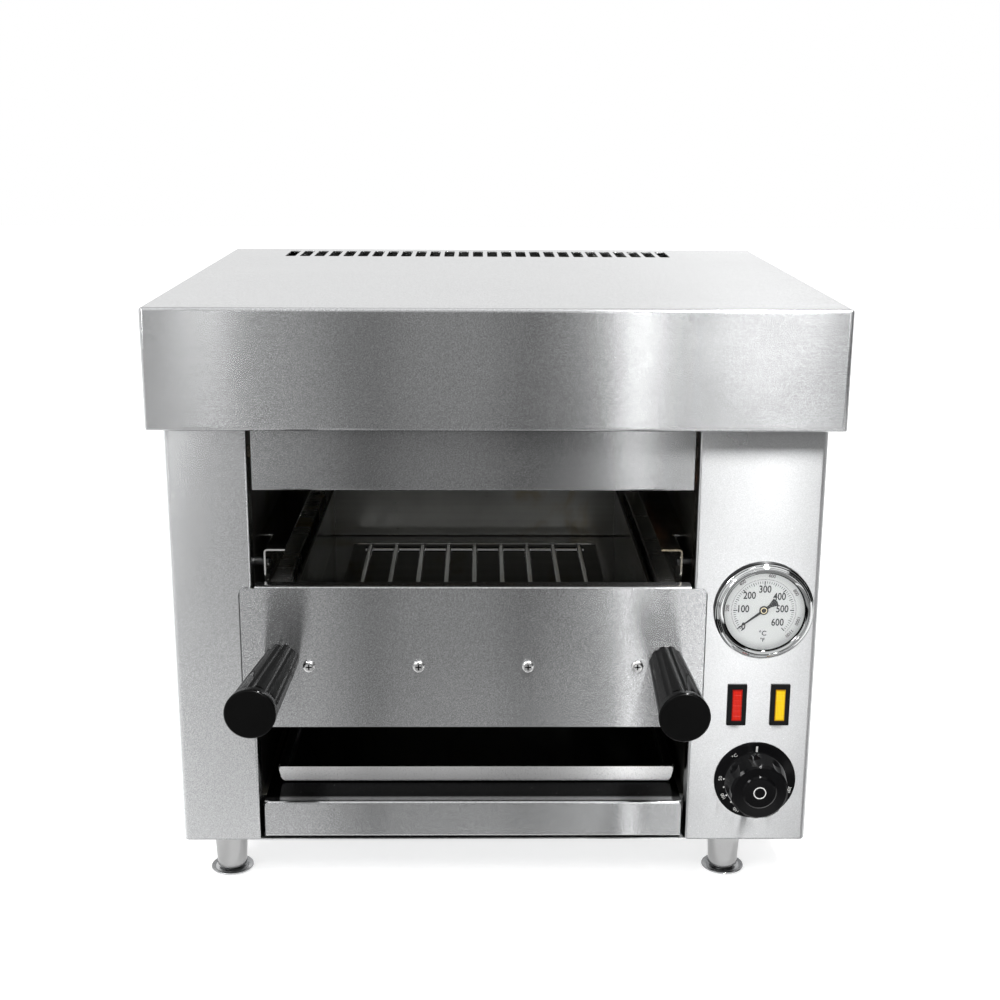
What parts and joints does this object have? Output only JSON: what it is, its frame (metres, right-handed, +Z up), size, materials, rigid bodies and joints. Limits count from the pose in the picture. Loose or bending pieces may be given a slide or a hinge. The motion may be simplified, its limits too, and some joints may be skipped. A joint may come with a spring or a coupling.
{
  "type": "cheese melter",
  "caption": "Countertop cheese melter: hooded steel body, pull-out grilling drawer with two fluted handles, crumb tray, thermometer, lamps and a temperature knob.",
  "frame": {"origin": "on the counter, under the middle of the bounding box, which runs from the handles' tips to the cable gland", "axes": "+X to the right as seen from the front, +Y from the front to the back, +Z up"},
  "size_m": [0.564, 0.614, 0.514],
  "materials": {
    "hood": "brushed stainless steel",
    "left_column": "brushed stainless steel",
    "right_column": "brushed stainless steel",
    "upper_front_panel": "brushed stainless steel",
    "floor_and_apron": "brushed stainless steel",
    "base_plate": "mill-finished steel",
    "back_panel": "satin steel",
    "left_cavity_wall": "steel with heat tint",
    "right_cavity_wall": "steel with heat tint",
    "cavity_back_wall": "steel with heat tint",
    "reflector": "polished steel",
    "top_insulation": "ceramic wool",
    "control_insulation": "ceramic wool",
    "front_element": "oxidised steel tube",
    "second_element": "oxidised steel tube",
    "third_element": "oxidised steel tube",
    "rear_element": "oxidised steel tube",
    "element_hangers": "satin steel",
    "element_bushings": "turned",
    "terminal_beads": "unglazed",
    "left_rail": "satin steel",
    "right_rail": "satin steel",
    "rail_spacers": "turned steel",
    "rail_screws": "bright plated",
    "drawer_pan": "satin steel",
    "left_runner": "satin steel",
    "right_runner": "satin steel",
    "wire_rack": "bright drawn rod",
    "drawer_front": "brushed stainless steel",
    "drawer_screws": "bright plated",
    "left_handle": "black phenolic moulding",
    "right_handle": "black phenolic moulding",
    "handle_studs": "zinc-plated steel",
    "crumb_tray": "satin steel",
    "gauge_case": "drawn steel",
    "gauge_bezel": "polished",
    "gauge_glass": "clear",
    "gauge_dial": "matt white",
    "gauge_pointer": "matt black with a brass hub",
    "gauge_probe": "drawn tube",
    "red_lamp": "black moulding",
    "red_lens": "red lens",
    "yellow_lamp": "black moulding",
    "yellow_lens": "yellow lens",
    "knob": "satin black phenolic moulding",
    "thermostat_shaft": "turned steel",
    "thermostat": "black moulding",
    "thermostat_probe": "drawn tube",
    "terminal_block": "unglazed",
    "cable_gland": "black nylon",
    "earth_stud": "turned",
    "panel_screws": "stainless steel",
    "front_left_leg": "polished steel tube",
    "front_left_foot": "satin steel",
    "front_right_leg": "polished steel tube",
    "front_right_foot": "satin steel",
    "rear_left_leg": "polished steel tube",
    "rear_left_foot": "satin steel",
    "rear_right_leg": "polished steel tube",
    "rear_right_foot": "satin steel"
  },
  "bodies": {
    "housing": {"hood": "hood", "left_column": "left_column", "right_column": "right_column", "upper_front_panel": "upper_front_panel", "floor_and_apron": "floor_and_apron", "base_plate": "base_plate", "back_panel": "back_panel", "left_cavity_wall": "left_cavity_wall", "right_cavity_wall": "right_cavity_wall", "cavity_back_wall": "cavity_back_wall", "reflector": "reflector", "top_insulation": "top_insulation", "control_insulation": "control_insulation", "front_element": "front_element", "second_element": "second_element", "third_element": "third_element", "rear_element": "rear_element", "element_hangers": "element_hangers", "element_bushings": "element_bushings", "terminal_beads": "terminal_beads", "left_rail": "left_rail", "right_rail": "right_rail", "rail_spacers": "rail_spacers", "rail_screws": "rail_screws", "gauge_case": "gauge_case", "gauge_bezel": "gauge_bezel", "gauge_glass": "gauge_glass", "gauge_dial": "gauge_dial", "gauge_probe": "gauge_probe", "red_lamp": "red_lamp", "red_lens": "red_lens", "yellow_lamp": "yellow_lamp", "yellow_lens": "yellow_lens", "thermostat": "thermostat", "thermostat_probe": "thermostat_probe", "terminal_block": "terminal_block", "cable_gland": "cable_gland", "earth_stud": "earth_stud", "panel_screws": "panel_screws", "front_left_leg": "front_left_leg", "front_right_leg": "front_right_leg", "rear_left_leg": "rear_left_leg", "rear_right_leg": "rear_right_leg"},
    "drawer": {"drawer_pan": "drawer_pan", "left_runner": "left_runner", "right_runner": "right_runner", "wire_rack": "wire_rack", "drawer_front": "drawer_front", "drawer_screws": "drawer_screws", "left_handle": "left_handle", "right_handle": "right_handle", "handle_studs": "handle_studs"},
    "crumb_tray": {"crumb_tray": "crumb_tray"},
    "temperature_knob": {"knob": "knob", "thermostat_shaft": "thermostat_shaft"},
    "thermometer_pointer": {"gauge_pointer": "gauge_pointer"},
    "front_left_foot": {"front_left_foot": "front_left_foot"},
    "front_right_foot": {"front_right_foot": "front_right_foot"},
    "rear_left_foot": {"rear_left_foot": "rear_left_foot"},
    "rear_right_foot": {"rear_right_foot": "rear_right_foot"}
  },
  "joints": [
    {"name": "drawer_slide", "type": "slide", "parent": "housing", "child": "drawer", "axis": [0, -1, 0], "range_m": [0, 0.26]},
    {"name": "crumb_tray_slide", "type": "slide", "parent": "housing", "child": "crumb_tray", "axis": [0, -1, 0], "range_m": [0, 0.3]},
    {"name": "knob_turn", "type": "hinge", "parent": "housing", "child": "temperature_knob", "pos_m": [0.223, -0.185, 0.1075], "axis": [0, 1, 0], "range_deg": [0, 270]},
    {"name": "pointer_turn", "type": "hinge", "parent": "housing", "child": "thermometer_pointer", "pos_m": [0.223, -0.185, 0.262], "axis": [0, 1, 0], "range_deg": [-8, 262]},
    {"name": "front_left_foot_height", "type": "slide", "parent": "housing", "child": "front_left_foot", "axis": [0, 0, -1], "range_m": [0, 0.012]},
    {"name": "front_right_foot_height", "type": "slide", "parent": "housing", "child": "front_right_foot", "axis": [0, 0, -1], "range_m": [0, 0.012]},
    {"name": "rear_left_foot_height", "type": "slide", "parent": "housing", "child": "rear_left_foot", "axis": [0, 0, -1], "range_m": [0, 0.012]},
    {"name": "rear_right_foot_height", "type": "slide", "parent": "housing", "child": "rear_right_foot", "axis": [0, 0, -1], "range_m": [0, 0.012]}
  ]
}
